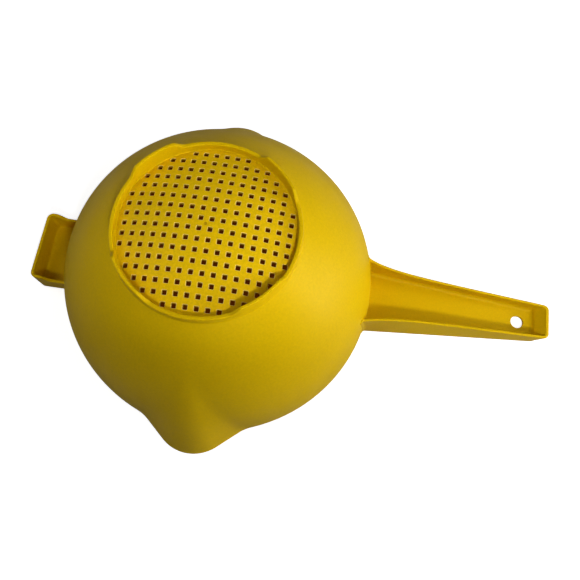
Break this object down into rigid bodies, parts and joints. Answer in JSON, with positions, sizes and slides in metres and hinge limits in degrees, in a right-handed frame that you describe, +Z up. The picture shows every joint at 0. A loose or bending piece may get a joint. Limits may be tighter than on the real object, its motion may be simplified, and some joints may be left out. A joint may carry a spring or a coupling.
{
  "type": "handled strainer bowl",
  "caption": "Round plastic strainer bowl with a domed square-hole base on a footed ring, two opposite pour lips, an open channel handle with a hang hole, and a short pan hook.",
  "frame": {"origin": "on the bowl's axis, in the plane of the four feet", "axes": "+Z up with the bowl's mouth upwards, +X along the handle, +Y and -Y through the pour lips, -X through the pan hook"},
  "size_m": [0.3366, 0.2302, 0.0933],
  "materials": {
    "bowl_plastic": "satin moulded",
    "sieve_plastic": "satin moulded",
    "handle_plastic": "satin moulded"
  },
  "bodies": {
    "root": {"bowl_shell": "bowl_plastic", "sieve_plate": "sieve_plastic", "foot_ring": "bowl_plastic", "foot_front_left": "bowl_plastic", "foot_front_right": "bowl_plastic", "foot_rear_left": "bowl_plastic", "foot_rear_right": "bowl_plastic", "pour_lip_left": "bowl_plastic", "pour_lip_right": "bowl_plastic", "handle_web": "handle_plastic", "handle_wall_left": "handle_plastic", "handle_wall_right": "handle_plastic", "handle_end_wall": "handle_plastic", "hook_web": "handle_plastic", "hook_wall_left": "handle_plastic", "hook_wall_right": "handle_plastic", "hook_end_wall": "handle_plastic"}
  },
  "joints": []
}
